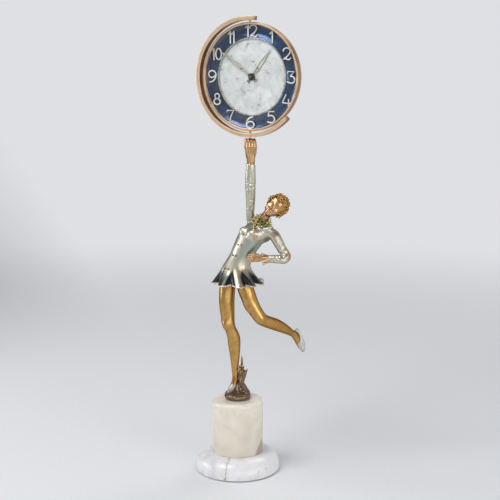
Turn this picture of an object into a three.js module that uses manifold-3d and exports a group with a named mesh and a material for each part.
// Figural table clock: a dancer on a stone base holds a crescent frame in which a round clock swivels.
// Millimetres, +Z up, the dial faces -Y, and the origin is the middle of the underside.
import * as THREE from "three";
import { mergeVertices } from "three/addons/utils/BufferGeometryUtils.js";
import Module from "manifold-3d";

const wasm = await Module();
wasm.setup();

// Fits
const SEAT_GAP = 0.3; // between castings that are soldered or cut to each other
const SLIP_GAP = 0.1; // radial, between a fixed pin and its hole
const RUNNING_GAP = 0.15; // radial, between a turning arbor and its hole
const AIR = 0.5; // between sheets that turn past each other
const PAST = 1; // how far a drill runs past the face that it cuts

// Facets
const BASE_SIDES = 28;
const DIAL_SIDES = 32;
const WHEEL_SIDES = 16;
const PIN_SIDES = 10;

// Base
const FOOT_RADIUS = 50;
const FOOT_HEIGHT = 21.2;
const FOOT_EDGE = 4.7; // straight side below the rounded shoulder
const FOOT_STEP = 19.7; // from the edge of the foot in to the drum
const FELT_INSET = 6;
const FELT_THICKNESS = 1.2;
const DRUM_HEIGHT = 64.2;
const DRUM_ROUND = 5;
const ROD_RADIUS = 3;
const ROD_CLEARANCE = 0.5;
const ROD_PAST_NUT = 1;
const WASHER_RADIUS = 10;
const WASHER_THICKNESS = 1.5;
const NUT_FLATS = 10;
const NUT_HEIGHT = 5;
const RECESS_CLEARANCE = 2;

// Figure, in its own axes: X to its left as posed, Y away from the viewer, Z up from the mound
const FIGURE_TURN = 28; // degrees from the dial's axes
const BODY_TURN = 42; // degrees, the way the chest faces inside the figure's axes
const MOUND_RADIUS = 15.5;
const MOUND_HEIGHT = 7;
const MOUND_CROWN = 2.6; // metal left above the end of the tie rod
const HEM_WAVES = 9;
const HEM_WAVE = 0.075; // share of the hem's radius
const SKIRT_WALL = 1.8;
const SKIRT_ROOM = 15.5; // height of the hollow above the hem
const COLLAR_RADIUS = 8.6;
const COLLAR_TUBE = 3;
const COLLAR_FRILLS = 11;
const COLLAR_FRILL = 0.1; // share of the collar's radius
const HEAD_LENGTH = 29;
const HEAD_WIDTH = 24;
const HAIR_OFFSET = 2.2; // of the hair behind the middle of the head
const CURLS_ROUND = 8;
const CURL_DEPTH = 0.11; // share of the hair's radius
const FINGER_RADIUS = 1.7;
const FINGER_PITCH = 3.6;
const SLIM_FINGER_RADIUS = 1.1;
const SLIM_FINGER_PITCH = 2;
const CUFF_FRILLS = 6;
const CUFF_FRILL = 0.12; // share of the cuff's radius

// Crescent frame and its pivots
const CRESCENT_WIDTH = 4.6;
const CRESCENT_DEPTH = 9;
const CRESCENT_FORWARD = 2.2; // of the middle of its depth, in front of the pivots
const CRESCENT_START = 83.6; // degrees, anticlockwise from three o'clock
const CRESCENT_END = 317;
const SWIVEL_GAP = 2.1; // between the bezel and the crescent
const PIVOT_RADIUS = 0.9;
const PIVOT_IN_BEZEL = 1.8;
const PIVOT_IN_HAND = 6;
const PIVOT_HEAD = 0.6;

// Clock case, along the dial's own axis: 0 is the pivot axis, + is towards the viewer
const BEZEL_RADIUS = 61;
const BEZEL_WIDTH = 2.5;
const BEZEL_LIP = 3.2; // above the edge of the glass
const BEZEL_BEAD = 0.7; // rounding of the outer edge
const BEZEL_OVERHANG = 0.4; // past the side of the case
const CASE_WALL = 0.8;
const CASE_FRONT = -3.2;
const CASE_FLOOR = 1;
const CASE_ROUND = 4.5; // where its side turns into its floor
const GLASS_THICKNESS = 1.4;
const GLASS_RISE = 8;
const CHAPTER_SHEET = 0.7;
const CHAPTER_FLANGE = 1.2;
const CHAPTER_DISH = 2.6;
const DIAL_RIM_RADIUS = 43.8;
const DIAL_RIM_WIDTH = 1.8;
const DIAL_RIM_HEIGHT = 0.55;
const DIAL_RIM_OVERHANG = 0.2; // past the edge of the dial
const DIAL_SHEET = 0.55;
const DIAL_HOLE_GAP = 0.8; // round the hour hand's pipe
const DIAL_FOOT_RADIUS = 1.2;
const DIAL_FOOT_INSET = 6; // from the edge of the movement's plate

// Hands
const MINUTE_LENGTH = 46.5;
const MINUTE_ANGLE = 306; // degrees clockwise from twelve
const HOUR_LENGTH = 36.5;
const HOUR_ANGLE = 38.5;
const HAND_TAIL = 8;
const HAND_SHEET = 0.5;
const HAND_WIDTH = 4.4;
const HAND_WIRE = 0.9;
const HAND_SPACE = 0.6; // below each hand
const HAND_HUB = 1.5; // round the pipe that carries the hand
const NUT_ON_HAND = 1.6;

// Movement
const PLATE_MARGIN = 1; // outside the barrel's teeth
const PLATE_THICKNESS = 1.5;
const PLATE_SPACE = 11.5;
const PILLAR_RADIUS = 2.2;
const PILLAR_INSET = 4;
const PILLAR_ANGLES = [25, 100, 215, 320];
const ARBOR_RADIUS = 0.8;
const WHEEL_SHEET = 1;
const PINION_LENGTH = 2;
const DIAL_AIR = 1; // between the dial and the wheels behind it
const CENTRE_ARBOR_RADIUS = 1.2;
const CANNON_RADIUS = 1.75;
const HOUR_PIPE_RADIUS = 2.6;
const BARREL_HEIGHT = 7.2;
const BARREL_WALL = 0.9;
const BARREL_ARBOR_RADIUS = 1.6;
const BARREL_HUB_RADIUS = 2.5;
const SPRING_TURNS = 3;
const SPRING_STRIP = 0.5;
const RATCHET_RADIUS = 5.2;
const RATCHET_TEETH = 15;
const RATCHET_TOOTH = 0.9;
const CLICK_REACH = 8.4;
const CLICK_HALF = 1.7;
const ESCAPE_RADIUS = 5.5;
const ESCAPE_TEETH = 15;
const ESCAPE_TOOTH = 1.5;
const PALLET_REACH = 8.4;
const PALLET_HALF = 4.4;
const PALLET_WIDTH = 0.9;
const BALANCE_REACH = 9.4;
const BALANCE_RADIUS = 7;
const BALANCE_RIM = 1.2;
const ROLLER_RADIUS = 1.5;
const HAIRSPRING_RADIUS = 5.2;
const HAIRSPRING_TURNS = 3;
const HAIRSPRING_STRIP = 0.25;
const HAIRSPRING_HEIGHT = 0.8;
const STUD_RADIUS = 0.6;
const COVER_WALL = 0.8;
const COVER_AIR = 2.5; // round and behind the movement
const COVER_ROUND = 4;
const COVER_FLANGE = 3;
const KEY_GAP = 1.5; // between the turning key and the knob
const KEY_HEIGHT = 9;
const KEY_SHEET = 2.2;
const KEY_SOCKET_WALL = 1.8;
const KNOB_RADIUS = 6;
const KNOB_LENGTH = 5;
const KNOB_GROOVES = 14;
const KNOB_GROOVE = 0.5;

// Meshing pairs: wheel and pinion teeth share one module
const BARREL_MESH = { wheel: 48, pinion: 8, module: 0.625 };
const CENTRE_MESH = { wheel: 48, pinion: 6, module: 0.525 };
const THIRD_MESH = { wheel: 45, pinion: 6, module: 0.53 };
const FOURTH_MESH = { wheel: 48, pinion: 6, module: 0.45 };
const MINUTE_MESH = { wheel: 24, pinion: 8, module: 0.75 };
const HOUR_MESH = { wheel: 32, pinion: 8, module: 0.6 };

// Pointed teeth: heights of tip and root from the pitch circle, in modules
const WHEEL_TOOTH = { above: 1.1, below: 1.5 };
const PINION_TOOTH = { above: 1, below: 1.7 };

// Arbor places round the centre, in degrees from three o'clock
const BARREL_ANGLE = 135;
const THIRD_ANGLE = -60;
const FOURTH_ANGLE = 40;
const ESCAPE_ANGLE = 110;
const PALLET_ANGLE = 60;
const BALANCE_ANGLE = 120;
const MINUTE_WHEEL_ANGLE = 200;
const CLICK_ANGLE = 250;

// Finishes
function finish(color, roughness, metalness) {
  return new THREE.MeshStandardMaterial({ color, roughness, metalness });
}

const FELT = finish(0x2f4a3a, 0.95, 0);
const MARBLE = finish(0xe9e6e2, 0.25, 0);
const ALABASTER = finish(0xd9c7a3, 0.35, 0);
const STEEL = finish(0x8d9096, 0.35, 1);
const BROWN_PATINA = finish(0x3a2a20, 0.5, 0.6);
const GOLD_PAINT = finish(0xb58a4c, 0.4, 0.7);
const SILVER_PAINT = finish(0xb9b9b4, 0.4, 0.7);
const GREEN_GOLD = finish(0x9a9a68, 0.4, 0.7);
const GILT = finish(0xc9a66b, 0.3, 1);
const BRASS = finish(0xc2a15a, 0.3, 1);
const BLUE_LACQUER = finish(0x27365c, 0.2, 0.6);
const SILVERED = finish(0xd2d3d2, 0.4, 0.9);
const GLASS = finish(0xf4f8fa, 0.05, 0);
GLASS.transparent = true;
GLASS.opacity = 0.25;

// Heights and radii that follow from the sizes above
const radians = THREE.MathUtils.degToRad;
const SPIN_AXIS = new THREE.Vector3(0, 0, 1);
const ROD_HOLE_RADIUS = ROD_RADIUS + ROD_CLEARANCE;
const RECESS_RADIUS = WASHER_RADIUS + RECESS_CLEARANCE;
const RECESS_DEPTH = WASHER_THICKNESS + NUT_HEIGHT + ROD_PAST_NUT + RECESS_CLEARANCE;
const DRUM_RADIUS = FOOT_RADIUS - FOOT_STEP;
const DRUM_BOTTOM = FELT_THICKNESS + FOOT_HEIGHT;
const DRUM_TOP = DRUM_BOTTOM + DRUM_HEIGHT;
const ROD_IN_MOUND = MOUND_HEIGHT - MOUND_CROWN;
const CRESCENT_INSIDE = BEZEL_RADIUS + SWIVEL_GAP;
const CRESCENT_RADIUS = CRESCENT_INSIDE + CRESCENT_WIDTH;
const CASE_RADIUS = BEZEL_RADIUS - BEZEL_OVERHANG;
const CASE_INSIDE = CASE_RADIUS - CASE_WALL;
const CHAPTER_TOP = CASE_FRONT - RUNNING_GAP;
const DIAL_TOP = CHAPTER_TOP - CHAPTER_SHEET - SLIP_GAP;
const DIAL_BOTTOM = DIAL_TOP - DIAL_SHEET;
const HOUR_HAND_LEVEL = DIAL_TOP + HAND_SPACE;
const MINUTE_HAND_LEVEL = HOUR_HAND_LEVEL + HAND_SHEET + HAND_SPACE;
const MINUTE_HAND_TOP = MINUTE_HAND_LEVEL + HAND_SHEET;

// Levels behind the dial: motion work, front plate, train, back plate, ratchet, cover
const HOUR_WHEEL_TOP = DIAL_BOTTOM - DIAL_AIR - SEAT_GAP;
const HOUR_WHEEL_BOTTOM = HOUR_WHEEL_TOP - WHEEL_SHEET;
const CANNON_TOP = HOUR_WHEEL_BOTTOM - AIR;
const CANNON_BOTTOM = CANNON_TOP - PINION_LENGTH;
const PLATE_FRONT = CANNON_BOTTOM - SEAT_GAP;
const CASE_BACK = PLATE_FRONT - CASE_FLOOR;
const SPACE_FRONT = PLATE_FRONT - PLATE_THICKNESS;
const SPACE_BACK = SPACE_FRONT - PLATE_SPACE;
const PLATE_BACK = SPACE_BACK - PLATE_THICKNESS;
const RATCHET_TOP = PLATE_BACK - AIR;
const RATCHET_BOTTOM = RATCHET_TOP - WHEEL_SHEET;
const CLICK_POST_END = RATCHET_BOTTOM - SEAT_GAP;
const COVER_BACK = CLICK_POST_END - COVER_AIR - COVER_WALL;

// Front faces of the wheels between the plates
const CENTRE_LEVEL = SPACE_FRONT - 2 * AIR;
const BARREL_LEVEL = CENTRE_LEVEL - WHEEL_SHEET - 2 * AIR;
const THIRD_LEVEL = BARREL_LEVEL - PINION_LENGTH - 2 * AIR;
const ESCAPE_LEVEL = THIRD_LEVEL + AIR;
const FOURTH_LEVEL = THIRD_LEVEL - PINION_LENGTH - AIR;

// Arbor places and the radii that follow from them
const reach = ({ wheel, pinion, module }) => ((wheel + pinion) * module) / 2;
const pitchRadius = (teeth, module) => (teeth * module) / 2;
const polar = (radius, angle) => [radius * Math.cos(angle), radius * Math.sin(angle)];

function placed([x, y], distance, angle) {
  const [across, up] = polar(distance, radians(angle));
  return [x + across, y + up];
}

const CENTRE_AT = [0, 0];
const BARREL_AT = placed(CENTRE_AT, reach(BARREL_MESH), BARREL_ANGLE);
const THIRD_AT = placed(CENTRE_AT, reach(CENTRE_MESH), THIRD_ANGLE);
const FOURTH_AT = placed(THIRD_AT, reach(THIRD_MESH), FOURTH_ANGLE);
const ESCAPE_AT = placed(FOURTH_AT, reach(FOURTH_MESH), ESCAPE_ANGLE);
const PALLET_AT = placed(ESCAPE_AT, PALLET_REACH, PALLET_ANGLE);
const BALANCE_AT = placed(PALLET_AT, BALANCE_REACH, BALANCE_ANGLE);
const MINUTE_AT = placed(CENTRE_AT, reach(MINUTE_MESH), MINUTE_WHEEL_ANGLE);
const CLICK_AT = placed(BARREL_AT, CLICK_REACH, CLICK_ANGLE);
const BARREL_PITCH_RADIUS = pitchRadius(BARREL_MESH.wheel, BARREL_MESH.module);
const BARREL_TIP = BARREL_PITCH_RADIUS + WHEEL_TOOTH.above * BARREL_MESH.module;
const PLATE_RADIUS = reach(BARREL_MESH) + BARREL_TIP + PLATE_MARGIN;
const COVER_RADIUS = PLATE_RADIUS + COVER_AIR + COVER_WALL;
const KEY_HALF = reach(BARREL_MESH) - KNOB_RADIUS - KEY_GAP;

// Solids, joined and cut as closed meshes

function solid(geometry) {
  const bare = new THREE.BufferGeometry();
  bare.setAttribute("position", geometry.getAttribute("position"));
  bare.setIndex(geometry.getIndex());
  const merged = mergeVertices(bare, 1e-4);
  const corners = merged.getIndex().array;
  const triangles = [];
  for (let i = 0; i < corners.length; i += 3) {
    const [a, b, c] = [corners[i], corners[i + 1], corners[i + 2]];
    if (a !== b && b !== c && c !== a) triangles.push(a, b, c);
  }
  const mesh = new wasm.Mesh({
    numProp: 3,
    vertProperties: new Float32Array(merged.getAttribute("position").array),
    triVerts: new Uint32Array(triangles),
  });
  const body = new wasm.Manifold(mesh);
  if (body.volume() > 0) return body;
  for (let i = 0; i < triangles.length; i += 3) {
    [triangles[i], triangles[i + 1]] = [triangles[i + 1], triangles[i]];
  }
  mesh.triVerts = new Uint32Array(triangles);
  return new wasm.Manifold(mesh);
}

function geometryOf(body) {
  const mesh = body.getMesh();
  const geometry = new THREE.BufferGeometry();
  geometry.setAttribute("position", new THREE.BufferAttribute(mesh.vertProperties, 3));
  geometry.setIndex(new THREE.BufferAttribute(mesh.triVerts, 1));
  return geometry;
}

function piece(group, name, body, material) {
  const mesh = new THREE.Mesh(geometryOf(body), material);
  mesh.name = name;
  group.add(mesh);
}

const joined = (bodies) => bodies.reduce((sum, body) => sum.add(body));
const cut = (body, tools) => tools.reduce((rest, tool) => rest.subtract(tool), body);

// Casting trimmed by its neighbours: the scraps that the cut frees fall away
function trimmed(body, tools) {
  const scraps = cut(body, tools).decompose();
  return scraps.reduce((largest, scrap) => (scrap.volume() > largest.volume() ? scrap : largest));
}

// Round solid about Z from a profile of [radius, height] points
function revolved(profile, sides) {
  const points = profile.map(([radius, height]) => new THREE.Vector2(radius, height));
  const closes = profile[0][0] > 0 && profile.at(-1)[0] > 0;
  if (closes) points.push(points[0].clone());
  return solid(new THREE.LatheGeometry(points, sides).rotateX(Math.PI / 2));
}

// Points of an arc in a profile, angles in degrees
function arc(centreRadius, centreHeight, radius, from, to, steps) {
  const angles = Array.from({ length: steps + 1 }, (_, i) => radians(from + ((to - from) * i) / steps));
  return angles.map((a) => [centreRadius + radius * Math.cos(a), centreHeight + radius * Math.sin(a)]);
}

// Straight peg along Z
function peg(radius, bottom, top, { at: [x, y] = CENTRE_AT, sides = PIN_SIDES } = {}) {
  const geometry = new THREE.CylinderGeometry(radius, radius, top - bottom, sides);
  return solid(geometry.rotateX(Math.PI / 2).translate(x, y, (bottom + top) / 2));
}

// Drill that cuts a hole through the sheet between two levels
const drill = (radius, bottom, top, options) => peg(radius, bottom - PAST, top + PAST, options);

const tube = (outer, inner, bottom, top, sides) =>
  revolved([[inner, bottom], [outer, bottom], [outer, top], [inner, top]], sides);

const outline = (points) => new THREE.Shape(points.map(([x, y]) => new THREE.Vector2(x, y)));

// Flat plate along Z from an outline
function plate(shape, bottom, top, curveSegments = 1) {
  const options = { depth: top - bottom, bevelEnabled: false, curveSegments };
  return solid(new THREE.ExtrudeGeometry(shape, options).translate(0, 0, bottom));
}

// Loft of ellipses through stations [x, y, z, half width, half depth]; the width lies along side
function loft(stations, side, { sides, grow = 0, wave = () => 1 }) {
  const centres = new THREE.CatmullRomCurve3(stations.map(([x, y, z]) => new THREE.Vector3(x, y, z)));
  const rings = stations.length - 1;
  const positions = [];
  const corners = [];
  stations.forEach(([, , , wide, deep], ring) => {
    const centre = centres.getPoint(ring / rings);
    const along = centres.getTangent(ring / rings);
    const across = side.clone().addScaledVector(along, -side.dot(along)).normalize();
    const other = along.clone().cross(across);
    for (let i = 0; i < sides; i += 1) {
      const angle = (2 * Math.PI * i) / sides;
      const scale = wave(ring, angle);
      const point = centre.clone();
      point.addScaledVector(across, (wide * scale + grow) * Math.cos(angle));
      point.addScaledVector(other, (deep * scale + grow) * Math.sin(angle));
      positions.push(...point.toArray());
    }
  });
  for (let ring = 0; ring < rings; ring += 1) {
    for (let i = 0; i < sides; i += 1) {
      const [a, b] = [ring * sides + i, ring * sides + ((i + 1) % sides)];
      corners.push(a, b, b + sides, a, b + sides, a + sides);
    }
  }
  [0, rings].forEach((ring) => {
    const hub = positions.length / 3;
    positions.push(...centres.getPoint(ring / rings).toArray());
    for (let i = 0; i < sides; i += 1) {
      const [a, b] = [ring * sides + i, ring * sides + ((i + 1) % sides)];
      corners.push(hub, ...(ring === 0 ? [b, a] : [a, b]));
    }
  });
  const geometry = new THREE.BufferGeometry();
  geometry.setAttribute("position", new THREE.Float32BufferAttribute(positions, 3));
  geometry.setIndex(corners);
  return solid(geometry);
}

// Round lofts through stations [x, y, z, radius]: a limb, and a finger or twig
const round = (stations) => stations.map(([x, y, z, radius]) => [x, y, z, radius, radius]);
const limbSide = new THREE.Vector3(1, 0.2, 0.1);
const limb = (stations, grow = 0) => loft(round(stations), limbSide, { sides: 10, grow });
const twig = (stations, grow = 0) => loft(round(stations), limbSide, { sides: 4, grow });

// Stone base

function buildBase(group) {
  const feltRadius = FOOT_RADIUS - FELT_INSET;
  piece(group, "base_felt", peg(feltRadius, 0, FELT_THICKNESS, { sides: BASE_SIDES }), FELT);
  const recessTop = FELT_THICKNESS + RECESS_DEPTH;
  const shoulder = FOOT_HEIGHT - FOOT_EDGE;
  const foot = [
    [RECESS_RADIUS, FELT_THICKNESS],
    [FOOT_RADIUS, FELT_THICKNESS],
    ...arc(FOOT_RADIUS - shoulder, DRUM_BOTTOM - shoulder, shoulder, 0, 90, 4),
    [ROD_HOLE_RADIUS, DRUM_BOTTOM],
    [ROD_HOLE_RADIUS, recessTop],
    [RECESS_RADIUS, recessTop],
  ];
  piece(group, "marble_foot", revolved(foot, BASE_SIDES), MARBLE);
  const drum = [
    [ROD_HOLE_RADIUS, DRUM_BOTTOM],
    [DRUM_RADIUS, DRUM_BOTTOM],
    ...arc(DRUM_RADIUS - DRUM_ROUND, DRUM_TOP - DRUM_ROUND, DRUM_ROUND, 0, 90, 3),
    [ROD_HOLE_RADIUS, DRUM_TOP],
  ];
  piece(group, "alabaster_drum", revolved(drum, BASE_SIDES), ALABASTER);
  const threadHole = ROD_RADIUS + SLIP_GAP;
  const washerBottom = recessTop - WASHER_THICKNESS;
  const nutBottom = washerBottom - NUT_HEIGHT;
  piece(group, "tie_washer", tube(WASHER_RADIUS, threadHole, washerBottom, recessTop, PIN_SIDES), STEEL);
  const hexagon = Array.from({ length: 6 }, (_, i) => polar(NUT_FLATS / Math.sqrt(3), (Math.PI / 3) * i));
  const nut = plate(outline(hexagon), nutBottom, washerBottom);
  piece(group, "tie_nut", nut.subtract(drill(threadHole, nutBottom, washerBottom)), STEEL);
  piece(group, "tie_rod", peg(ROD_RADIUS, nutBottom - ROD_PAST_NUT, DRUM_TOP + ROD_IN_MOUND), STEEL);
}

// Figure

const bodySide = new THREE.Vector3(Math.cos(radians(BODY_TURN)), -Math.sin(radians(BODY_TURN)), 0);

const TORSO = [
  [-0.5, 0, 141, 12, 11],
  [-0.5, 0, 151, 14.5, 13],
  [3.5, 0, 163, 15, 13.4],
  [9, 0, 173, 16, 14],
  [14.5, 0, 183, 18, 15],
  [19.5, 0, 193, 19.5, 16],
  [23.5, 0, 201, 18.5, 13.5],
  [27, -0.5, 207, 14, 9.5],
  [30, -1, 211.5, 6.5, 6],
];
const SKIRT = [
  [7, 0, 169, 14.6, 13.4],
  [2.5, 0, 161, 15, 14],
  [-1, 0, 153, 16, 15],
  [-0.5, 0, 144, 21.5, 20.5],
  [1, 0, 133.5, 29, 27.5],
];
const HEM_ROW = SKIRT.length - 1;
const SKIRT_CEILING = SKIRT[HEM_ROW][2] + SKIRT_ROOM;
const LEG_TOP = SKIRT_CEILING - SEAT_GAP;

// Folds that start below the hips and are deepest at the hem
function skirtWave(row, angle) {
  const lower = Math.max(0, row / HEM_ROW - 0.35);
  return 1 + HEM_WAVE * (lower / 0.65) ** 2 * Math.cos(HEM_WAVES * angle);
}

// Room under the skirt, from below the hem up to a flat ceiling
function skirtRoom(shrink) {
  const wall = SKIRT_WALL + shrink;
  const rows = SKIRT.slice(1).map(([x, y, z, wide, deep]) => [x, y, z, wide - wall, deep - wall]);
  const [x, y, z, wide, deep] = rows.at(-1);
  const flare = SKIRT_WALL * 3;
  rows.push([x, y, z - flare, wide + flare / 2, deep + flare / 2]);
  const lid = peg(wide * 2, SKIRT_CEILING - shrink, SKIRT_CEILING + SKIRT_ROOM * 2);
  return loft(rows, bodySide, { sides: 14 }).subtract(lid);
}

function dressSolid(grow) {
  const torso = loft(TORSO, bodySide, { sides: 16, grow });
  const skirt = loft(SKIRT, bodySide, { sides: 3 * HEM_WAVES, grow, wave: skirtWave });
  return torso.add(skirt).subtract(skirtRoom(grow));
}

const STANDING_LEG = [
  [-6.8, 4, LEG_TOP, 6.4],
  [-10.4, 4.5, 135, 8.9],
  [-12.4, 4, 115, 9.2],
  [-11.5, 3, 94, 8.2],
  [-10.8, 2, 84.5, 7.7],
  [-8, 3, 76.5, 6.8],
  [-5.1, 4.6, 68, 7.2],
  [-3.9, 5.2, 58, 7],
  [-3.2, 5, 47, 6.2],
  [-3.1, 4.4, 36, 4.8],
  [-3.1, 3.8, 25, 3.7],
  [-3, 3.4, 17, 3.5],
  [-3.8, 2.6, 11.5, 3.6],
  [-6.4, 0.2, 6.5, 3.6],
  [-9, -2.2, 2.6, 3],
  [-11.2, -4.3, 0.4, 1.6],
];
const RAISED_LEG = [
  [4.6, -4.6, LEG_TOP, 6.2],
  [7.5, -5.4, 138, 8.6],
  [10.5, -6, 125, 9.4],
  [17, -7, 109, 8.4],
  [24, -8, 97, 7.7],
  [29.5, -6.6, 90.5, 7.2],
  [37, 0, 85.8, 7],
  [47.4, 12, 78.6, 6.5],
  [58, 24, 70.4, 4.9],
  [64.5, 32, 64.8, 3.7],
  [69.2, 36.6, 60.2, 4.6],
  [73.4, 39.6, 52.5, 4.6],
  [77, 42.4, 44.5, 3.6],
  [79.4, 44.2, 39.4, 1.8],
];
const RAISED_HEEL = [
  [68, 37, 61, 3],
  [71.5, 40.5, 63.5, 2.2],
];

const standingLeg = (grow) => limb(STANDING_LEG, grow);
const raisedLeg = (grow) => joined([limb(RAISED_LEG, grow), twig(RAISED_HEEL, grow)]);

// Stump with a leaf, and a snag beside it, which prop the ankle
const STUMP = [
  [6, 6.5, -5, 6.4],
  [5.8, 6.5, 5, 5.4],
  [4.8, 6.4, 17, 4.8],
  [5.4, 6.8, 26, 4],
  [5.6, 7.6, 37, 1.6],
  [4.9, 7, 42.5, 0.5],
];
const SNAG = [
  [6.8, 7, 9, 3.4],
  [8.8, 7, 18, 2.6],
  [12, 7, 26.4, 0.5],
];

// Rough ground under the foot
function buildMound(group) {
  const bottom = -MOUND_HEIGHT;
  const dome = revolved([
    [0, bottom],
    [MOUND_RADIUS * 0.96, bottom],
    [MOUND_RADIUS, bottom * 0.78],
    [MOUND_RADIUS * 0.93, bottom * 0.4],
    [MOUND_RADIUS * 0.66, bottom * 0.1],
    [0, 0],
  ], WHEEL_SIDES);
  const rodHole = peg(ROD_RADIUS + SEAT_GAP, bottom - PAST, bottom + ROD_IN_MOUND + SEAT_GAP);
  const ground = joined([dome, twig(STUMP), twig(SNAG)]);
  piece(group, "mound", trimmed(ground, [rodHole, standingLeg(SEAT_GAP)]), BROWN_PATINA);
}

// Head tilted back over the shoulder: crown and face give its axes
const HEAD_CENTRE = new THREE.Vector3(45, -4, 224.5);
const CROWN = new THREE.Vector3(0.72, 0.08, 0.69).normalize();
const FACE = new THREE.Vector3(-0.3, -0.92, 0.25);
FACE.addScaledVector(CROWN, -FACE.dot(CROWN)).normalize();
const CHEEK = CROWN.clone().cross(FACE);
const NECK = [
  [27, -1, 206, 5.6],
  [33, -2, 213, 5.2],
  [39.5, -2.6, 219.5, 5.6],
];

// Rows of the head: level in half lengths, shift to the face, share of the half width
const SKULL_ROWS = [
  [-1, 3.2, 0.3],
  [-0.82, 5, 0.55],
  [-0.4, 2, 0.84],
  [0.05, 0.4, 1],
  [0.45, 0, 0.93],
  [0.8, 0, 0.6],
  [0.95, 0, 0.28],
];
const HAIR_ROWS = [
  [-0.55, 0.72],
  [-0.25, 0.98],
  [0.1, 1.06],
  [0.42, 1.08],
  [0.74, 0.94],
  [0.98, 0.66],
  [1.12, 0.3],
];

// Station in the head's own axes: shift to the face, level along the crown, half width and depth
function onHead(face, level, wide, deep) {
  const at = HEAD_CENTRE.clone().addScaledVector(FACE, face).addScaledVector(CROWN, level);
  return [...at.toArray(), wide, deep];
}

function headSolid(grow) {
  const rise = HEAD_LENGTH / 2;
  const half = HEAD_WIDTH / 2;
  const rows = SKULL_ROWS.map(([level, face, share]) =>
    onHead(face, level * rise, half * share, half * share));
  const skull = loft(rows, CHEEK, { sides: 12, grow });
  const bridge = onHead(half * 0.9, rise * 0.2, 0.9, 0.9);
  const tip = onHead(half * 1.16, rise * -0.11, 1.3, 1.3);
  return joined([skull, twig(NECK, grow), twig([bridge, tip], grow)]);
}

// Short curls: the rows of the hair swell and sink in turn, each row half a curl on from the last
function hairSolid() {
  const rise = HEAD_LENGTH / 2;
  const half = HEAD_WIDTH / 2;
  const rows = HAIR_ROWS.map(([level, share]) =>
    onHead(-HAIR_OFFSET, level * rise, half * share, half * share));
  const wave = (row, angle) => 1 + CURL_DEPTH * Math.cos(CURLS_ROUND * angle + Math.PI * row);
  return loft(rows, CHEEK, { sides: 2 * CURLS_ROUND, wave });
}

// Frilled collar: a torus whose outer half rises and falls in waves
const COLLAR_CENTRE = new THREE.Vector3(29.4, -1.6, 207);
const COLLAR_AXIS = new THREE.Vector3(0.55, -0.1, 0.83).normalize();

function collarSolid() {
  const torus = new THREE.TorusGeometry(COLLAR_RADIUS, COLLAR_TUBE, 4, 2 * COLLAR_FRILLS);
  const spots = torus.getAttribute("position");
  for (let i = 0; i < spots.count; i += 1) {
    const [x, y, z] = [spots.getX(i), spots.getY(i), spots.getZ(i)];
    const wave = Math.cos(COLLAR_FRILLS * Math.atan2(y, x));
    const spread = Math.hypot(x, y) > COLLAR_RADIUS ? 1 + COLLAR_FRILL * wave : 1;
    spots.setXYZ(i, x * spread, y * spread, z * 0.8 + COLLAR_FRILL * COLLAR_RADIUS * wave);
  }
  const tilt = new THREE.Quaternion().setFromUnitVectors(SPIN_AXIS, COLLAR_AXIS);
  return solid(torus.applyQuaternion(tilt).translate(...COLLAR_CENTRE.toArray()));
}

const GRIP = new THREE.Vector3(15.2, 0, 303); // top of the raised hand
const RAISED_ARM = [
  [19, 9.5, 196, 5.5],
  [16.6, 9.5, 204, 5.6],
  [15.1, 8.5, 213, 4.6],
  [15.5, 7, 222, 5.1],
  [15.5, 5.2, 234, 5.6],
  [15.4, 3.4, 245.3, 6],
  [15.4, 2.4, 252.2, 6.2],
  [15.6, 1, 265, 5.6],
  [15.7, 0.6, 272, 5.3],
  [15.9, 0.3, 277, 4.6],
  [15.7, 0.1, 285, 5.4],
  [15.3, 0, 293, 6.4],
];
const BENT_ARM = [
  [37, -10, 196, 4.6],
  [42.5, -12, 191.5, 6.2],
  [46.5, -13.5, 185, 6],
  [51.5, -15.5, 176, 5.5],
  [57, -17.5, 167.5, 5.2],
  [54.5, -19, 164.4, 5],
  [46, -19.6, 165, 5],
  [36, -19.4, 165.2, 4.2],
  [30.5, -19, 165, 3.4],
];
const BENT_HAND = [
  [32.4, -19.2, 165, 2.6, 2.8],
  [26.4, -18.6, 165.4, 2.6, 2],
  [20.4, -18.4, 166, 3.8, 1.9],
  [15.4, -18, 166.4, 3.6, 1.6],
];
const CUFF = [
  [34.4, -19.4, 165, 4.4, 4.4],
  [31.4, -19.2, 165, 5.6, 5.6],
  [28.9, -19, 165, 6.2, 6.2],
];
const FINGER_PLACES = [-1.5, -0.5, 0.5, 1.5];

// Fist under the foot of the crescent, with folded fingers in front and the thumb beside them
function raisedHand() {
  const { x, y, z: top } = GRIP;
  const fist = [
    [x + 0.6, y, top - 23, 5, 4.2],
    [x + 0.3, y, top - 13, 6.8, 5],
    [x, y, top - 5, 7.8, 5.6],
    [x, y, top, 7, 5],
  ];
  const fingers = FINGER_PLACES.map((place) => {
    const across = x + FINGER_PITCH * place;
    return twig([
      [across, y - 4, top - 9, FINGER_RADIUS],
      [across, y - 5.8, top - 4.4, FINGER_RADIUS],
      [across, y - 4.4, top - FINGER_RADIUS - SEAT_GAP, FINGER_RADIUS],
    ]);
  });
  const thumb = twig([
    [x + 7, y + 1, top - 12, FINGER_RADIUS],
    [x + 8.6, y + 1, top - 6, FINGER_RADIUS],
    [x + 7, y, top - FINGER_RADIUS - SEAT_GAP, FINGER_RADIUS],
  ]);
  return joined([loft(fist, bodySide, { sides: 10 }), ...fingers, thumb]);
}

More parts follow.
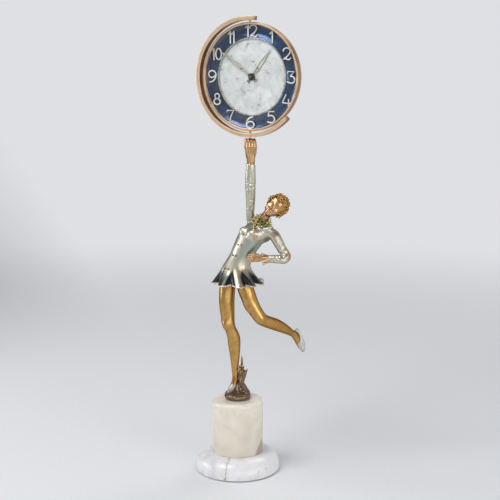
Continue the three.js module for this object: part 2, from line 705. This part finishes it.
// Flat hand against the waist, out of a frilled cuff
function bentHand() {
  const [fromX, y, level] = BENT_HAND[2];
  const fingers = FINGER_PLACES.map((place) => {
    const z = level + SLIM_FINGER_PITCH * place;
    return twig([
      [fromX - 2, y, z, SLIM_FINGER_RADIUS],
      [fromX - 8, y, z, SLIM_FINGER_RADIUS],
      [fromX - 12.5, y, z + 0.6 * place, SLIM_FINGER_RADIUS * 0.7],
    ]);
  });
  const wave = (row, angle) => 1 + (CUFF_FRILL * row * Math.cos(CUFF_FRILLS * angle)) / (CUFF.length - 1);
  const cuff = loft(CUFF, SPIN_AXIS, { sides: 2 * CUFF_FRILLS, wave });
  return joined([loft(BENT_HAND, SPIN_AXIS, { sides: 8 }), cuff, ...fingers]);
}

function buildFigure(group) {
  buildMound(group);
  const dressRoom = dressSolid(SEAT_GAP);
  const studHole = peg(PIVOT_RADIUS + SEAT_GAP, GRIP.z - PIVOT_IN_HAND - SEAT_GAP, GRIP.z + PAST, {
    at: [GRIP.x, GRIP.y],
  });
  piece(group, "standing_leg", trimmed(standingLeg(0), [dressRoom]), GOLD_PAINT);
  piece(group, "raised_leg", trimmed(raisedLeg(0), [dressRoom, standingLeg(SEAT_GAP)]), GOLD_PAINT);
  piece(group, "dress", dressSolid(0), SILVER_PAINT);
  piece(group, "head", trimmed(headSolid(0).add(hairSolid()), [dressRoom]), GOLD_PAINT);
  piece(group, "collar_ruff", trimmed(collarSolid(), [dressRoom, headSolid(SEAT_GAP)]), GREEN_GOLD);
  const raisedArm = limb(RAISED_ARM).add(raisedHand());
  piece(group, "raised_arm", trimmed(raisedArm, [dressRoom, studHole]), SILVER_PAINT);
  const bentArm = limb(BENT_ARM).add(bentHand());
  piece(group, "bent_arm", trimmed(bentArm, [dressRoom]), SILVER_PAINT);
}

// Crescent frame with its two pivots, in the dial's axes: X right, Y up, Z towards the viewer

const upright = (body) => body.rotate([-90, 0, 0]);

function buildCrescent(group) {
  const bow = new THREE.Shape();
  bow.absarc(0, 0, CRESCENT_RADIUS, radians(CRESCENT_START), radians(CRESCENT_END), false);
  bow.absarc(0, 0, CRESCENT_INSIDE, radians(CRESCENT_END), radians(CRESCENT_START), true);
  const back = CRESCENT_FORWARD - CRESCENT_DEPTH / 2;
  const bar = plate(bow, back, back + CRESCENT_DEPTH, 16);
  const hole = PIVOT_RADIUS + SLIP_GAP;
  const drills = [
    upright(drill(hole, CRESCENT_INSIDE - PAST, CRESCENT_RADIUS)),
    upright(drill(hole, -CRESCENT_RADIUS, PAST - CRESCENT_INSIDE)),
  ];
  piece(group, "crescent_frame", cut(bar, drills), GILT);
  const tip = BEZEL_RADIUS - PIVOT_IN_BEZEL + SLIP_GAP;
  piece(group, "top_pivot_screw", upright(peg(PIVOT_RADIUS, tip, CRESCENT_RADIUS + PIVOT_HEAD)), BRASS);
  const stud = peg(PIVOT_RADIUS, -CRESCENT_RADIUS - PIVOT_IN_HAND, -tip);
  piece(group, "bottom_pivot_stud", upright(stud), BRASS);
}

// Clock case, dial and glass, in the dial's axes

// Height of a dome above its rim plane
function domeHeight(radius, rimRadius) {
  const ball = (rimRadius ** 2 + GLASS_RISE ** 2) / (2 * GLASS_RISE);
  return GLASS_RISE - ball + Math.sqrt(ball ** 2 - radius ** 2);
}

function buildCase(group) {
  const movementHole = PLATE_RADIUS + SEAT_GAP;
  const innerRound = CASE_ROUND - CASE_FLOOR;
  const pan = revolved([
    [movementHole, CASE_BACK],
    ...arc(CASE_RADIUS - CASE_ROUND, CASE_BACK + CASE_ROUND, CASE_ROUND, -90, 0, 3),
    [CASE_RADIUS, CASE_FRONT],
    [CASE_INSIDE, CASE_FRONT],
    ...arc(CASE_INSIDE - innerRound, PLATE_FRONT + innerRound, innerRound, 0, -90, 3),
    [movementHole, PLATE_FRONT],
  ], DIAL_SIDES);
  piece(group, "case_pan", pan, GILT);

  const opening = BEZEL_RADIUS - BEZEL_WIDTH;
  const glassRadius = CASE_INSIDE - 2 * SEAT_GAP;
  const seat = glassRadius + SEAT_GAP;
  const glassRim = CASE_FRONT + GLASS_THICKNESS;
  const rebate = glassRim + SLIP_GAP;
  const lip = rebate + domeHeight(opening, glassRadius);
  const front = lip + BEZEL_LIP;
  const bezel = revolved([
    [seat, CASE_FRONT],
    [BEZEL_RADIUS, CASE_FRONT],
    ...arc(BEZEL_RADIUS - BEZEL_BEAD, front - BEZEL_BEAD, BEZEL_BEAD, 0, 90, 1),
    [opening, front],
    [opening, lip],
    [seat, rebate],
  ], DIAL_SIDES);
  const hole = PIVOT_RADIUS + RUNNING_GAP;
  const holeEnd = BEZEL_RADIUS - PIVOT_IN_BEZEL;
  const pivots = [
    upright(peg(hole, holeEnd, BEZEL_RADIUS + PAST)),
    upright(peg(hole, -BEZEL_RADIUS - PAST, -holeEnd)),
  ];
  piece(group, "bezel", cut(bezel, pivots), GILT);

  const steps = [0, 0.6, 1].map((share) => share * glassRadius);
  const inside = steps.map((radius) => [radius, CASE_FRONT + domeHeight(radius, glassRadius)]);
  const outside = inside.map(([radius, level]) => [radius, level + GLASS_THICKNESS]).reverse();
  piece(group, "glass", revolved([...inside, ...outside], DIAL_SIDES), GLASS);

  const troughStart = DIAL_RIM_RADIUS + SLIP_GAP;
  const troughWidth = opening + SLIP_GAP - troughStart;
  const trough = [0, 1 / 3, 2 / 3, 1].map((share) =>
    [troughStart + troughWidth * share, CHAPTER_TOP - CHAPTER_DISH * Math.sin(Math.PI * share)]);
  const face = [
    [troughStart - CHAPTER_FLANGE, CHAPTER_TOP],
    ...trough,
    [CASE_INSIDE - SEAT_GAP, CHAPTER_TOP],
  ];
  const back = face.map(([radius, level]) => [radius, level - CHAPTER_SHEET]).reverse();
  piece(group, "chapter_ring", revolved([...face, ...back], DIAL_SIDES), BLUE_LACQUER);

  const dialHole = HOUR_PIPE_RADIUS + DIAL_HOLE_GAP;
  const disc = tube(DIAL_RIM_RADIUS - DIAL_RIM_OVERHANG, dialHole, DIAL_BOTTOM, DIAL_TOP, DIAL_SIDES);
  const feet = [60, 180, 300].map((angle) =>
    peg(DIAL_FOOT_RADIUS, PLATE_FRONT + SLIP_GAP, DIAL_TOP - DIAL_SHEET / 2, {
      at: placed(CENTRE_AT, PLATE_RADIUS - DIAL_FOOT_INSET, angle),
      sides: 6,
    }));
  piece(group, "dial_plate", joined([disc, ...feet]), SILVERED);
  const rimInside = DIAL_RIM_RADIUS - DIAL_RIM_WIDTH;
  const rim = tube(DIAL_RIM_RADIUS, rimInside, CHAPTER_TOP, CHAPTER_TOP + DIAL_RIM_HEIGHT, DIAL_SIDES);
  piece(group, "dial_rim", rim, GILT);
}

// Open leaf-shaped hand on a round boss, made pointing to twelve and then turned
function handSolid(length, pipe, level, angle) {
  const hub = pipe + HAND_HUB;
  const half = HAND_WIDTH / 2;
  const waist = HAND_WIRE * 0.8;
  const point = HAND_WIRE * 0.4;
  const leaf = (inset) => [
    [waist - inset * 0.4, hub + inset],
    [half - inset, length * 0.55],
    [half * 0.75 - inset * 0.75, length * 0.72],
    [point * (1 - inset * 0.7), length - inset * 4],
  ];
  const mirrored = (points) => points.map(([x, y]) => [-x, y]).reverse();
  const blade = outline([[waist, 0], ...leaf(0), ...mirrored(leaf(0)), [-waist, 0]]);
  const window = leaf(HAND_WIRE);
  blade.holes.push(outline([...window, ...mirrored(window)]));
  const top = level + HAND_SHEET;
  const end = waist * 1.6;
  const tail = outline([[waist, 0], [end, -HAND_TAIL], [-end, -HAND_TAIL], [-waist, 0]]);
  const hand = joined([plate(blade, level, top), plate(tail, level, top), peg(hub, level, top)]);
  return hand.rotate([0, 0, -angle]).subtract(drill(pipe + SLIP_GAP, level, top));
}

// Movement between two plates, in the dial's axes

// Toothed outline; phase is the angle of the middle of one tooth
function toothed(teeth, module, form, phase) {
  const radius = pitchRadius(teeth, module);
  const pitch = (2 * Math.PI) / teeth;
  const corners = [[0, form.above], [0.5, -form.below]];
  return outline(Array.from({ length: teeth }, (_, i) =>
    corners.map(([share, height]) => polar(radius + height * module, phase + pitch * (i + share)))).flat());
}

// Phase of a gear so that a gap of it faces the tooth of the gear it meets
function meshedPhase(phase, teeth, direction, otherTeeth) {
  const line = radians(direction);
  return line + Math.PI - ((phase - line) * teeth) / otherTeeth + Math.PI / otherTeeth;
}

// Wheel with crossings between its rim and its hub
const CROSSINGS = 3;
const SPOKE_HALF = 0.9;
const RIM_DEPTH = 3.4; // below the pitch circle, in modules
const HUB_SHARE = 0.3; // of the pitch radius

function wheelShape({ wheel, module }, phase) {
  const shape = toothed(wheel, module, WHEEL_TOOTH, phase);
  const rim = pitchRadius(wheel, module) - module * RIM_DEPTH;
  const hub = pitchRadius(wheel, module) * HUB_SHARE;
  for (let i = 0; i < CROSSINGS; i += 1) {
    const middle = (2 * Math.PI * (i + 0.5)) / CROSSINGS;
    const [wide, narrow] = [rim, hub].map((radius) => Math.PI / CROSSINGS - SPOKE_HALF / radius);
    const window = new THREE.Path();
    window.absarc(0, 0, rim, middle - wide, middle + wide, false);
    window.absarc(0, 0, hub, middle + narrow, middle - narrow, true);
    shape.holes.push(window);
  }
  return shape;
}

const pinionShape = ({ pinion, module }, phase) => toothed(pinion, module, PINION_TOOTH, phase);
const behind = (level, length) => [level - length, level];
const moved = (body, [x, y]) => body.translate([x, y, 0]);
const arbor = () => peg(ARBOR_RADIUS, PLATE_BACK + SEAT_GAP, PLATE_FRONT - SEAT_GAP);

// Phases carried from each wheel's first tooth to the pinion that it drives
const FIRST_TOOTH = 0;
const pinionPhase = ({ wheel, pinion }, direction) => meshedPhase(FIRST_TOOTH, wheel, direction, pinion);

function buildPlates(group) {
  const pivots = [THIRD_AT, FOURTH_AT, ESCAPE_AT, PALLET_AT, BALANCE_AT];
  const drilled = (bottom, top) => [
    ...pivots.map((at) => drill(ARBOR_RADIUS + RUNNING_GAP, bottom, top, { at, sides: 8 })),
    drill(CENTRE_ARBOR_RADIUS + RUNNING_GAP, bottom, top),
    drill(BARREL_ARBOR_RADIUS + RUNNING_GAP, bottom, top, { at: BARREL_AT }),
  ];
  const disc = (bottom, top) => peg(PLATE_RADIUS, bottom, top, { sides: DIAL_SIDES });
  const sunk = PLATE_THICKNESS / 2;
  const minuteStud = peg(ARBOR_RADIUS, PLATE_FRONT - sunk, DIAL_BOTTOM - SEAT_GAP, { at: MINUTE_AT });
  const front = disc(SPACE_FRONT, PLATE_FRONT).add(minuteStud);
  piece(group, "front_plate", cut(front, drilled(SPACE_FRONT, PLATE_FRONT)), BRASS);
  const clickPost = peg(ARBOR_RADIUS, CLICK_POST_END, PLATE_BACK + sunk, { at: CLICK_AT });
  const studReach = HAIRSPRING_RADIUS + HAIRSPRING_STRIP + SEAT_GAP + STUD_RADIUS;
  const springStud = peg(STUD_RADIUS, SPACE_BACK - sunk, SPACE_BACK + SEAT_GAP + HAIRSPRING_HEIGHT, {
    at: placed(BALANCE_AT, studReach, 0),
  });
  const back = joined([disc(PLATE_BACK, SPACE_BACK), clickPost, springStud]);
  piece(group, "back_plate", cut(back, drilled(PLATE_BACK, SPACE_BACK)), BRASS);
  PILLAR_ANGLES.forEach((angle, i) => {
    const at = placed(CENTRE_AT, PLATE_RADIUS - PILLAR_INSET, angle);
    piece(group, `pillar_${i + 1}`, peg(PILLAR_RADIUS, SPACE_BACK, SPACE_FRONT, { at }), BRASS);
  });
}

// Flat spiral strip wound outwards from the arbor
function spiralStrip(inner, outer, turns, strip, bottom, top) {
  const count = turns * PIN_SIDES;
  const edge = (offset) => Array.from({ length: count + 1 }, (_, i) =>
    polar(inner + ((outer - inner) * i) / count + offset, (2 * Math.PI * i) / PIN_SIDES));
  return plate(outline([...edge(strip / 2), ...edge(-strip / 2).reverse()]), bottom, top);
}

function buildBarrel(group) {
  const { wheel, module } = BARREL_MESH;
  const [bottom, top] = behind(BARREL_LEVEL, BARREL_HEIGHT);
  const shell = pitchRadius(wheel, module) - WHEEL_TOOTH.below * module - AIR;
  const inside = shell - BARREL_WALL;
  const floor = top - BARREL_WALL;
  const bore = BARREL_ARBOR_RADIUS + RUNNING_GAP;
  const cup = revolved([
    [bore, floor],
    [inside, floor],
    [inside, bottom],
    [shell, bottom],
    [shell, top],
    [bore, top],
  ], WHEEL_SIDES);
  const rack = plate(toothed(wheel, module, WHEEL_TOOTH, FIRST_TOOTH), top - WHEEL_SHEET, top);
  const ring = rack.subtract(drill(inside + BARREL_WALL / 2, top - WHEEL_SHEET, top, { sides: WHEEL_SIDES }));
  piece(group, "barrel", moved(cup.add(ring), BARREL_AT), BRASS);
  const lid = tube(inside - SLIP_GAP, bore, bottom, bottom + BARREL_WALL, WHEEL_SIDES);
  piece(group, "barrel_cover", moved(lid, BARREL_AT), BRASS);

  const springBottom = bottom + BARREL_WALL + SEAT_GAP;
  const springTop = floor - SEAT_GAP;
  const innermost = BARREL_HUB_RADIUS + SEAT_GAP + SPRING_STRIP / 2;
  const outermost = (inside - SEAT_GAP) * Math.cos(Math.PI / WHEEL_SIDES) - SPRING_STRIP / 2;
  const coil = spiralStrip(innermost, outermost, SPRING_TURNS, SPRING_STRIP, springBottom, springTop);
  piece(group, "mainspring", moved(coil, BARREL_AT), STEEL);
  const hub = peg(BARREL_HUB_RADIUS, springBottom, springTop);
  const shaft = peg(BARREL_ARBOR_RADIUS, COVER_BACK - KEY_HEIGHT / 2, PLATE_FRONT - SEAT_GAP);
  piece(group, "barrel_arbor", moved(hub.add(shaft), BARREL_AT), STEEL);
}

// Ratchet on the barrel arbor, and the click that holds it
function buildRatchet(group) {
  const pitch = (2 * Math.PI) / RATCHET_TEETH;
  const root = RATCHET_RADIUS - RATCHET_TOOTH;
  const saw = Array.from({ length: RATCHET_TEETH }, (_, i) =>
    [polar(RATCHET_RADIUS, pitch * i), polar(root, pitch * (i + 0.12))]).flat();
  const ratchet = plate(outline(saw), RATCHET_BOTTOM, RATCHET_TOP);
  const eye = drill(BARREL_ARBOR_RADIUS + SLIP_GAP, RATCHET_BOTTOM, RATCHET_TOP);
  piece(group, "ratchet_wheel", moved(ratchet.subtract(eye), BARREL_AT), STEEL);
  const nose = CLICK_REACH - RATCHET_RADIUS - SEAT_GAP;
  const pawl = outline([
    [-CLICK_HALF, 0],
    [-CLICK_HALF * 0.25, nose],
    [CLICK_HALF * 0.3, nose],
    [CLICK_HALF, 0],
    [CLICK_HALF * 0.7, -CLICK_HALF * 0.7],
    [-CLICK_HALF * 0.7, -CLICK_HALF * 0.7],
  ]);
  const pivot = drill(ARBOR_RADIUS + RUNNING_GAP, RATCHET_BOTTOM, RATCHET_TOP, { sides: 8 });
  const click = plate(pawl, RATCHET_BOTTOM, RATCHET_TOP).subtract(pivot).rotate([0, 0, CLICK_ANGLE + 90]);
  piece(group, "click", moved(click, CLICK_AT), STEEL);
}

// Two-winged key on the barrel arbor behind the cover
function buildKey(group) {
  const [bottom, top] = behind(COVER_BACK - SEAT_GAP, KEY_HEIGHT);
  const wingHalf = KEY_HALF * 0.45;
  const wing = (way) => {
    const shape = new THREE.Shape();
    shape.absellipse(way * (KEY_HALF - wingHalf), 0, wingHalf, KEY_HEIGHT * 0.42, 0, 2 * Math.PI, false);
    const leaf = plate(shape, -KEY_SHEET / 2, KEY_SHEET / 2, 5);
    return leaf.rotate([90, 0, 0]).translate([0, 0, (bottom + top) / 2]);
  };
  const socket = peg(BARREL_ARBOR_RADIUS + KEY_SOCKET_WALL, bottom, top);
  const hole = peg(BARREL_ARBOR_RADIUS + SLIP_GAP, COVER_BACK - KEY_HEIGHT / 2 - SEAT_GAP, top + PAST);
  const key = joined([socket, wing(-1), wing(1)]).subtract(hole);
  piece(group, "winding_key", moved(key, BARREL_AT), BRASS);
}

// Wheels from the centre to the escape, each on the arbor of the pinion before it
function buildTrain(group) {
  const pinionFront = PINION_LENGTH / 4; // how far a pinion stands in front of the wheel that it meets
  const meshing = (mesh, direction, level, length = PINION_LENGTH) =>
    plate(pinionShape(mesh, pinionPhase(mesh, direction)), ...behind(level + pinionFront, length));
  const wheel = (mesh, level) => plate(wheelShape(mesh, FIRST_TOOTH), ...behind(level, WHEEL_SHEET));

  const centreLeaves = CENTRE_LEVEL - WHEEL_SHEET;
  const centrePinion = meshing(BARREL_MESH, BARREL_ANGLE + 180, centreLeaves, PINION_LENGTH * 1.5);
  const hollow = drill(CENTRE_ARBOR_RADIUS + RUNNING_GAP, SPACE_BACK, SPACE_FRONT);
  const centre = wheel(CENTRE_MESH, CENTRE_LEVEL).add(centrePinion).subtract(hollow);
  piece(group, "centre_wheel", centre, BRASS);
  const thirdPinion = meshing(CENTRE_MESH, THIRD_ANGLE, CENTRE_LEVEL);
  const third = joined([wheel(THIRD_MESH, THIRD_LEVEL), thirdPinion, arbor()]);
  piece(group, "third_wheel", moved(third, THIRD_AT), BRASS);
  const fourthPinion = meshing(THIRD_MESH, FOURTH_ANGLE, THIRD_LEVEL);
  const fourth = joined([wheel(FOURTH_MESH, FOURTH_LEVEL), fourthPinion, arbor()]);
  piece(group, "fourth_wheel", moved(fourth, FOURTH_AT), BRASS);

  const pitch = (2 * Math.PI) / ESCAPE_TEETH;
  const root = ESCAPE_RADIUS - ESCAPE_TOOTH;
  const club = Array.from({ length: ESCAPE_TEETH }, (_, i) => [
    polar(root, pitch * i),
    polar(ESCAPE_RADIUS, pitch * (i + 0.3)),
    polar(root, pitch * (i + 0.55)),
  ]).flat();
  const escapeWheel = plate(outline(club), ...behind(ESCAPE_LEVEL, WHEEL_SHEET));
  const escape = joined([escapeWheel, meshing(FOURTH_MESH, ESCAPE_ANGLE, FOURTH_LEVEL), arbor()]);
  piece(group, "escape_wheel", moved(escape, ESCAPE_AT), BRASS);
}

// Lever with two pallet arms towards the escape wheel and a fork towards the balance
function buildEscapement(group) {
  const span = behind(ESCAPE_LEVEL, WHEEL_SHEET);
  const hold = ESCAPE_RADIUS - PALLET_REACH;
  const inner = PALLET_HALF - PALLET_WIDTH;
  const body = ARBOR_RADIUS * 1.5;
  const arms = outline([
    [-PALLET_HALF, hold],
    [-PALLET_HALF, 0],
    [-body, body],
    [body, body],
    [PALLET_HALF, 0],
    [PALLET_HALF, hold],
    [inner, hold],
    [inner, -body],
    [-inner, -body],
    [-inner, hold],
  ]);
  const forkEnd = BALANCE_REACH - ROLLER_RADIUS - 2 * AIR;
  const prong = ARBOR_RADIUS * 1.6;
  const tail = outline([
    [-ARBOR_RADIUS, 0],
    [ARBOR_RADIUS, 0],
    [prong, forkEnd],
    [prong / 3, forkEnd],
    [0, forkEnd - prong],
    [-prong / 3, forkEnd],
    [-prong, forkEnd],
  ]);
  const lever = joined([
    plate(arms, ...span).rotate([0, 0, PALLET_ANGLE - 90]),
    plate(tail, ...span).rotate([0, 0, BALANCE_ANGLE - 90]),
    arbor(),
  ]);
  piece(group, "pallet_lever", moved(lever, PALLET_AT), STEEL);

  const [bottom, top] = behind(FOURTH_LEVEL, WHEEL_SHEET);
  const armEnd = BALANCE_RADIUS - BALANCE_RIM / 2;
  const armHalf = BALANCE_RIM / 2;
  const arm = outline([[-armEnd, -armHalf], [armEnd, -armHalf], [armEnd, armHalf], [-armEnd, armHalf]]);
  const balance = joined([
    tube(BALANCE_RADIUS, BALANCE_RADIUS - BALANCE_RIM, bottom, top, WHEEL_SIDES),
    plate(arm, bottom, top),
    peg(ROLLER_RADIUS, ...span),
    arbor(),
  ]);
  piece(group, "balance_wheel", moved(balance, BALANCE_AT), BRASS);
  const collet = ARBOR_RADIUS + SEAT_GAP + HAIRSPRING_STRIP / 2;
  const level = SPACE_BACK + SEAT_GAP;
  const coil = spiralStrip(collet, HAIRSPRING_RADIUS, HAIRSPRING_TURNS, HAIRSPRING_STRIP,
    level, level + HAIRSPRING_HEIGHT);
  piece(group, "hairspring", moved(coil, BALANCE_AT), STEEL);
}

// Wheels between the front plate and the dial that turn the hour hand at a twelfth of the minute hand
function buildMotionWork(group) {
  const nose = MINUTE_HAND_TOP + NUT_ON_HAND;
  piece(group, "centre_arbor", peg(CENTRE_ARBOR_RADIUS, COVER_BACK - KNOB_LENGTH, nose), STEEL);
  const cannonTeeth = pinionShape(MINUTE_MESH, pinionPhase(MINUTE_MESH, MINUTE_WHEEL_ANGLE + 180));
  const cannon = joined([
    peg(CANNON_RADIUS, CANNON_BOTTOM, MINUTE_HAND_TOP),
    plate(cannonTeeth, CANNON_BOTTOM, CANNON_TOP),
  ]);
  const arborHole = CENTRE_ARBOR_RADIUS + SLIP_GAP;
  piece(group, "cannon_pinion", cannon.subtract(drill(arborHole, CANNON_BOTTOM, MINUTE_HAND_TOP)), STEEL);

  const wheelTeeth = ({ wheel, module }) => toothed(wheel, module, WHEEL_TOOTH, FIRST_TOOTH);
  const wheelBottom = CANNON_BOTTOM + (PINION_LENGTH - WHEEL_SHEET) / 2;
  const wheelTop = wheelBottom + WHEEL_SHEET;
  const pinionTop = HOUR_WHEEL_TOP + SEAT_GAP;
  const minuteTeeth = pinionShape(HOUR_MESH, pinionPhase(HOUR_MESH, MINUTE_WHEEL_ANGLE));
  const minuteWheel = joined([
    plate(wheelTeeth(MINUTE_MESH), wheelBottom, wheelTop),
    plate(minuteTeeth, wheelTop - WHEEL_SHEET / 2, pinionTop),
  ]).subtract(drill(ARBOR_RADIUS + RUNNING_GAP, wheelBottom, pinionTop));
  piece(group, "minute_wheel", moved(minuteWheel, MINUTE_AT), BRASS);
  const pipeTop = HOUR_HAND_LEVEL + HAND_SHEET;
  const hourWheel = joined([
    plate(wheelTeeth(HOUR_MESH), HOUR_WHEEL_BOTTOM, HOUR_WHEEL_TOP),
    peg(HOUR_PIPE_RADIUS, HOUR_WHEEL_BOTTOM, pipeTop),
  ]).subtract(drill(CANNON_RADIUS + RUNNING_GAP, HOUR_WHEEL_BOTTOM, pipeTop));
  piece(group, "hour_wheel", hourWheel, BRASS);

  const hourHand = handSolid(HOUR_LENGTH, HOUR_PIPE_RADIUS, HOUR_HAND_LEVEL, HOUR_ANGLE);
  piece(group, "hour_hand", hourHand, GILT);
  const minuteHand = handSolid(MINUTE_LENGTH, CANNON_RADIUS, MINUTE_HAND_LEVEL, MINUTE_ANGLE);
  piece(group, "minute_hand", minuteHand, GILT);
  const handNut = tube(CANNON_RADIUS, arborHole, MINUTE_HAND_TOP, nose - SLIP_GAP, PIN_SIDES);
  piece(group, "hand_nut", handNut, BRASS);
}

// Drawn can over the movement, with the setting knob behind it
function buildBack(group) {
  const inside = COVER_RADIUS - COVER_WALL;
  const flange = COVER_RADIUS + COVER_FLANGE;
  const knee = [COVER_RADIUS - COVER_ROUND, COVER_BACK + COVER_ROUND];
  const can = revolved([
    [flange, CASE_BACK],
    [inside, CASE_BACK],
    ...arc(...knee, COVER_ROUND - COVER_WALL, 0, -90, 2),
    [0, COVER_BACK + COVER_WALL],
    [0, COVER_BACK],
    ...arc(...knee, COVER_ROUND, -90, 0, 2),
    [COVER_RADIUS, CASE_BACK - COVER_WALL],
    [flange, CASE_BACK - COVER_WALL],
  ], BASE_SIDES);
  const sheet = [COVER_BACK, COVER_BACK + COVER_WALL];
  const knobHole = drill(CENTRE_ARBOR_RADIUS + 2 * SEAT_GAP, ...sheet);
  const keyHole = drill(BARREL_ARBOR_RADIUS + 2 * SEAT_GAP, ...sheet, { at: BARREL_AT });
  piece(group, "back_cover", cut(can, [knobHole, keyHole]), GILT);
  const grip = Array.from({ length: 2 * KNOB_GROOVES }, (_, i) =>
    polar(KNOB_RADIUS - (i % 2) * KNOB_GROOVE, (Math.PI * i) / KNOB_GROOVES));
  const [bottom, top] = behind(COVER_BACK - SEAT_GAP, KNOB_LENGTH);
  const bore = drill(CENTRE_ARBOR_RADIUS + SLIP_GAP, bottom, top);
  piece(group, "set_knob", plate(outline(grip), bottom, top).subtract(bore), BRASS);
}

// Assembly

const clock = new THREE.Group();
buildBase(clock);

const figure = new THREE.Group();
figure.position.z = DRUM_TOP + MOUND_HEIGHT;
figure.rotation.z = radians(FIGURE_TURN);
buildFigure(figure);
clock.add(figure);

const dialGroup = new THREE.Group();
dialGroup.position.copy(GRIP).applyAxisAngle(SPIN_AXIS, radians(FIGURE_TURN)).add(figure.position);
dialGroup.position.z += SEAT_GAP + CRESCENT_RADIUS;
dialGroup.rotation.x = Math.PI / 2;
buildCrescent(dialGroup);
buildCase(dialGroup);
buildPlates(dialGroup);
buildBarrel(dialGroup);
buildRatchet(dialGroup);
buildKey(dialGroup);
buildTrain(dialGroup);
buildEscapement(dialGroup);
buildMotionWork(dialGroup);
buildBack(dialGroup);
clock.add(dialGroup);

export default clock;
